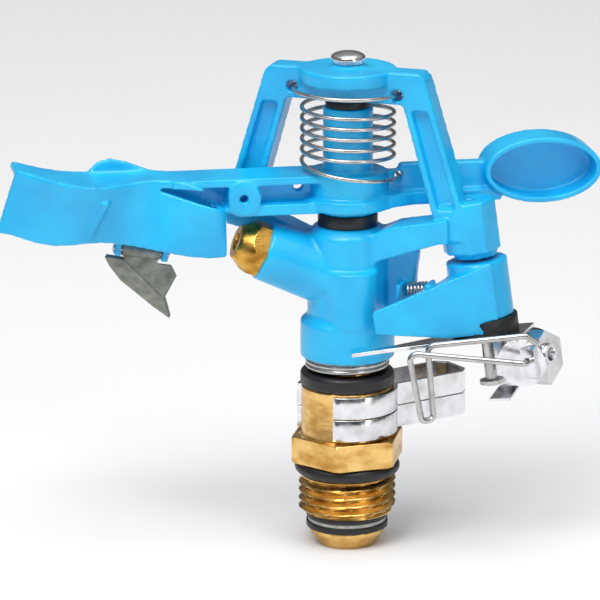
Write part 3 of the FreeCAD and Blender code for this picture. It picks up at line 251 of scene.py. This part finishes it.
def ease(share, low, high):
    part = min(1, max(0, (share - low) / (high - low)))
    return part * part * (3 - 2 * part)


def steady(radius):
    return lambda angle: radius


# ---- pieces that replace CAD nodes ----

# the bearing nut, in millimetres
THREAD_CREST, THREAD_ROOT, THREAD_PITCH = 10.4775, 9.3155, 1.814
THREAD_TOP, HEX_BOTTOM, HEX_TOP = 8.2, 11.5, 17.3
HEX_FLATS, HEX_TURN = 22, math.radians(9.3)
CORNER_STAND, CORNER_SLOPE = 1.25, 1.7
NECK_RADIUS, RELIEF_RADIUS, BORE_RADIUS = 9.8, 8.4, 6.56


def thread_row(height):
    """A right-hand thread: the groove climbs one pitch a turn, and fades out at both ends."""
    fade = min(1, (height + 0.35) / 1.1, (THREAD_TOP - height + 0.3) / 0.9)

    def radius_at(angle):
        phase = (height / THREAD_PITCH - angle / (2 * math.pi)) % 1
        straight = abs(4 * phase - 2) - 1
        shape = 0.62 * straight + 0.38 * math.cos(2 * math.pi * phase)
        return THREAD_ROOT + (THREAD_CREST - THREAD_ROOT) * fade * (0.5 + 0.5 * shape)

    return height, radius_at


def hex_row(height, inset=0.0):
    """The hexagon, its corners turned down near both faces."""
    near_face = min(height - HEX_BOTTOM, HEX_TOP - height)
    limit = HEX_FLATS / 2 + CORNER_STAND + CORNER_SLOPE * near_face

    def radius_at(angle):
        within = (angle - HEX_TURN) % math.radians(60) - math.radians(30)
        return min(HEX_FLATS / 2 / math.cos(within), limit) - inset

    return height, radius_at


def bearing_nut(material):
    steps = 64
    rows = [(0, steady(BORE_RADIUS)), (0, steady(THREAD_ROOT - 0.5))]
    rows += [thread_row(THREAD_TOP * k / steps) for k in range(steps + 1)]
    rows += [(THREAD_TOP, steady(RELIEF_RADIUS)), (HEX_BOTTOM, steady(RELIEF_RADIUS))]
    rows += [hex_row(HEX_BOTTOM, 0.1)]
    rows += [hex_row(HEX_BOTTOM + rise) for rise in (0.1, 0.3, 0.6, 1.0, 2.9)]
    rows += [hex_row(HEX_TOP - fall) for fall in (1.0, 0.6, 0.3, 0.1)]
    rows += [hex_row(HEX_TOP, 0.1)]
    neck_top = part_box("bearing_nut")[1].z / MM
    rows += [(HEX_TOP, steady(NECK_RADIUS + 0.45)), (HEX_TOP + 0.15, steady(NECK_RADIUS + 0.13))]
    rows += [(HEX_TOP + 0.5, steady(NECK_RADIUS)), (neck_top - 0.3, steady(NECK_RADIUS))]
    rows += [(neck_top, steady(NECK_RADIUS - 0.3)), (neck_top, steady(BORE_RADIUS))]
    nut = lathe("turned_nut", rows, 288, material)
    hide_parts("bearing_nut")
    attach(nut, "base")


def fulcrum_pin(material):
    """Round-headed pin with a knurled ring under its head."""
    low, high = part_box("fulcrum_pin")
    bottom, top = low.z / MM, high.z / MM
    head = high.x / MM
    seat = top - 2.7
    shaft = 1.98

    def knurl(angle):
        return head - 0.72 + 0.16 * math.cos(28 * angle)

    rows = [(bottom, steady(0.05)), (bottom, steady(shaft - 0.2)), (bottom + 0.2, steady(shaft))]
    rows += [(seat, steady(shaft)), (seat, steady(head - 0.95)), (seat + 0.1, knurl), (seat + 0.95, knurl)]
    rows += [(seat + 1.0, steady(head - 0.25)), (seat + 1.08, steady(head)), (seat + 1.35, steady(head))]
    dome_foot, dome_rise = seat + 1.35, 1.33
    for share in (0.15, 0.3, 0.45, 0.6, 0.75, 0.9):
        angle = share * math.pi / 2
        rows.append((dome_foot + dome_rise * math.sin(angle), steady(head * math.cos(angle))))
    rows.append((top, steady(0.05)))
    pin = lathe("knurled_pin", rows, 224, material)
    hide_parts("fulcrum_pin")
    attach(pin, "head")


def arm_spring(material):
    """Close torsion coil: the top loop passes through the bar, the lower end through the arm's web."""
    steps, wire = 420, 0.45
    loop_radius, coil_radius = 11.6, 9.8
    loop_turns, blend_turns, coil_turns = 0.56, 0.42, 5.6
    turns = loop_turns + blend_turns + coil_turns
    loop_end, coil_start = loop_turns / turns, (loop_turns + blend_turns) / turns
    first = math.radians(137)
    loop_top, coil_top, coil_low = 93.15, 89.1, 76.3
    hole_out, hole_height = 10.7, 73.8
    path = []
    for step in range(steps + 1):
        share = step / steps
        angle = first + 2 * math.pi * turns * share
        settled = ease(share, loop_end, coil_start)
        tail = ease(share, 1 - 0.55 / turns, 1)
        radius = loop_radius + (coil_radius - loop_radius) * settled + (hole_out - coil_radius) * tail
        looped = loop_top - 0.7 * min(1, share / loop_end)
        coiled = coil_top - (coil_top - coil_low) * max(0, (share - coil_start) / (1 - coil_start))
        height = looped * (1 - settled) + coiled * settled - (coil_low - hole_height) * tail
        path.append(Vector((radius * math.cos(angle), radius * math.sin(angle), height)) * MM)
    end = path[-1]
    for forward in (1.2, 2.4, 3.6, 4.6):
        path.append(Vector((hole_out * MM, end.y + forward * MM, end.z)))
    spring = tube("coiled_arm_spring", path, wire * MM, material)
    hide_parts("arm_spring")
    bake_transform(spring)


def bearing_spring(material):
    """Stiff compression spring between the nut's neck ring and the casting's collar."""
    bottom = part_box("neck_ring")[1].z / MM
    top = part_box("bearing_spring")[1].z / MM
    wire, radius, turns, steps = 0.56, 8.5, 6.5, 320
    path = []
    for step in range(steps + 1):
        share = step / steps
        angle = 2 * math.pi * turns * share
        height = bottom + wire + (top - bottom - 2 * wire) * share
        path.append(Vector((radius * math.cos(angle), radius * math.sin(angle), height)) * MM)
    spring = tube("coiled_bearing_spring", path, wire * MM, material)
    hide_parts("bearing_spring")
    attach(spring, "head")


def trip_spring(material):
    """Short coil from the casting's seat to the lever's ear."""
    joint = next(j for j in frame["joints"] if j["name"] == "trip_toggle")
    up = Vector(joint["axis"]).normalized()
    back = up.cross(Vector((0, 0, 1))).normalized()
    out = back.cross(up)
    low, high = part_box("trip_spring")
    middle = (low + high) / 2
    radius, wire, length, turns, steps = 1.6 * MM, 0.3 * MM, 4.3 * MM, 5.5, 200
    path = []
    for step in range(steps + 1):
        share = step / steps
        angle = 2 * math.pi * turns * share
        wound = math.cos(angle) * back + math.sin(angle) * up
        path.append(middle + (share - 0.5) * length * out + radius * wound)
    spring = tube("coiled_trip_spring", path, wire, material)
    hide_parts("trip_spring")
    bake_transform(spring)


# ---- CAD nodes that keep their shape ----

def coat(name, material):
    node = nodes[name]
    node.data.materials.clear()
    node.data.materials.append(material)
    return node


def cast(name, material, voxel_mm, rounds):
    """Softens a casting's edges, as thick paint over sand-cast metal does."""
    node = coat(name, material)
    remesh = node.modifiers.new("casting_skin", "REMESH")
    remesh.mode = "VOXEL"
    remesh.voxel_size = voxel_mm * MM
    remesh.use_smooth_shade = True
    soften = node.modifiers.new("casting_softness", "SMOOTH")
    soften.factor = 0.5
    soften.iterations = rounds


def eased_edges(name, material, width_mm, angle=30):
    """Joins the facets and breaks the sharp edges of a machined or stamped piece."""
    node = coat(name, material)
    weld = node.modifiers.new("joined_facets", "WELD")
    weld.merge_threshold = 0.002 * MM
    bevel = node.modifiers.new("broken_edges", "BEVEL")
    bevel.limit_method = "ANGLE"
    bevel.angle_limit = math.radians(angle)
    bevel.width = width_mm * MM
    bevel.segments = 2
    bevel.harden_normals = True


# ---- stage ----

def floor(material):
    half = 6.0
    level = BOX_LOW.z
    corners = [(-half, -half, level), (half, -half, level), (half, half, level), (-half, half, level)]
    ground = new_piece("studio_floor", corners, [(0, 1, 2, 3)], material)


def world():
    """A pale tent that is brighter above, so that the metal has something to reflect."""
    made = bpy.data.worlds.new("studio")
    bpy.context.scene.world = made
    made.use_nodes = True
    tree = made.node_tree
    background = tree.nodes["Background"]
    direction = tree.nodes.new("ShaderNodeTexCoord")
    split = tree.nodes.new("ShaderNodeSeparateXYZ")
    ramp = tree.nodes.new("ShaderNodeValToRGB")
    ramp.color_ramp.elements[0].position = 0.0
    ramp.color_ramp.elements[0].color = (0.06, 0.06, 0.065, 1)
    ramp.color_ramp.elements[1].position = 0.8
    ramp.color_ramp.elements[1].color = (1.0, 1.0, 1.0, 1)
    tree.links.new(direction.outputs["Generated"], split.inputs["Vector"])
    tree.links.new(split.outputs["Z"], ramp.inputs["Fac"])
    tree.links.new(ramp.outputs["Color"], background.inputs["Color"])
    background.inputs["Strength"].default_value = 0.42


def outward(azimuth, elevation):
    """The direction from the object, in degrees: azimuth 0 is in front, elevation 90 overhead."""
    turn, rise = math.radians(azimuth), math.radians(elevation)
    return Vector((math.sin(turn) * math.cos(rise), -math.cos(turn) * math.cos(rise), math.sin(rise)))


def softbox(name, azimuth, elevation, distance, size, watts):
    """An area light that looks at the sprinkler's middle."""
    centre = (BOX_LOW + BOX_HIGH) / 2
    away = outward(azimuth, elevation)
    light = bpy.data.lights.new(name, "AREA")
    light.shape = "RECTANGLE"
    light.size, light.size_y = size
    light.energy = watts
    made = bpy.data.objects.new(name, light)
    made.location = centre + away * distance
    made.rotation_euler = away.to_track_quat("Z", "Y").to_euler()
    bpy.context.scene.collection.objects.link(made)


def daylight(azimuth, elevation, strength):
    """A wide, soft sun, so that the floor stays even out to the horizon."""
    light = bpy.data.lights.new("daylight", "SUN")
    light.energy = strength
    light.angle = math.radians(40)
    made = bpy.data.objects.new("daylight", light)
    made.rotation_euler = outward(azimuth, elevation).to_track_quat("Z", "Y").to_euler()
    bpy.context.scene.collection.objects.link(made)


def camera():
    """A low view, slightly from the left, with a long lens; `seen` is the frame's width in metres."""
    lens, sensor, seen = 290, 36, 0.1282
    aim = Vector((-10, 1.8, 46.5)) * MM
    back = outward(-10, 15)
    data = bpy.data.cameras.new("photo_view")
    data.lens, data.sensor_width = lens, sensor
    data.clip_start, data.clip_end = 0.01, 20
    made = bpy.data.objects.new("photo_view", data)
    made.location = aim + back * seen * lens / sensor
    made.rotation_euler = back.to_track_quat("Z", "Y").to_euler()
    bpy.context.scene.collection.objects.link(made)
    bpy.context.scene.camera = made


def main():
    blue = blue_paint()
    gold = brass("brass", (0.52, 0.27, 0.055), (0.86, 0.56, 0.2), 0.16)
    jet = brass("nozzle_brass", (0.36, 0.17, 0.025), (0.74, 0.42, 0.085), 0.2)
    bright = steel("bright_steel", (0.78, 0.78, 0.8), 0.1)
    wire = steel("spring_steel", (0.56, 0.55, 0.54), 0.2, streak=(1, 1, 1))
    black = rubber()
    pale = pale_plastic()
    grey = flap_grey()
    camera()
    cast("body_casting", blue, 0.4, 4)
    cast("hammer_arm", blue, 0.4, 3)
    cast("trip_lever", blue, 0.3, 4)
    bearing_nut(gold)
    fulcrum_pin(bright)
    arm_spring(wire)
    bearing_spring(wire)
    trip_spring(wire)
    # The black top_washer is painted shade: a dark ring set in the gap between the post and the bar, where
    # there is only shadow.
    for name in ("riser_gasket", "neck_ring", "hub_washer", "top_washer", "trip_spacer",
                 "nose_washer_upper", "nose_washer_lower"):
        eased_edges(name, black, 0.12)
    for name in ("collar_lower", "collar_upper", "trip_plate", "wire_block", "block_screw", "block_bracket"):
        eased_edges(name, bright, 0.1)
    for name in ("trip_pin", "trip_clip", "flap_pin", "trip_wire"):
        coat(name, wire)
    eased_edges("inner_tube", gold, 0.2)
    eased_edges("nozzle", jet, 0.25)
    eased_edges("arm_bush", gold, 0.1)
    eased_edges("friction_washer", pale, 0.12)
    eased_edges("deflector_flap", grey, 0.15, angle=20)
    floor(floor_paper())
    world()
    softbox("key", -40, 50, 0.9, (0.45, 0.45), 3.9)
    softbox("front_fill", 30, 15, 1.1, (0.2, 0.9), 1.6)
    softbox("top", 10, 85, 0.8, (0.9, 0.9), 2.2)
    daylight(2, 70, 1.0)
    bpy.context.scene.view_settings.view_transform = "Standard"


main()
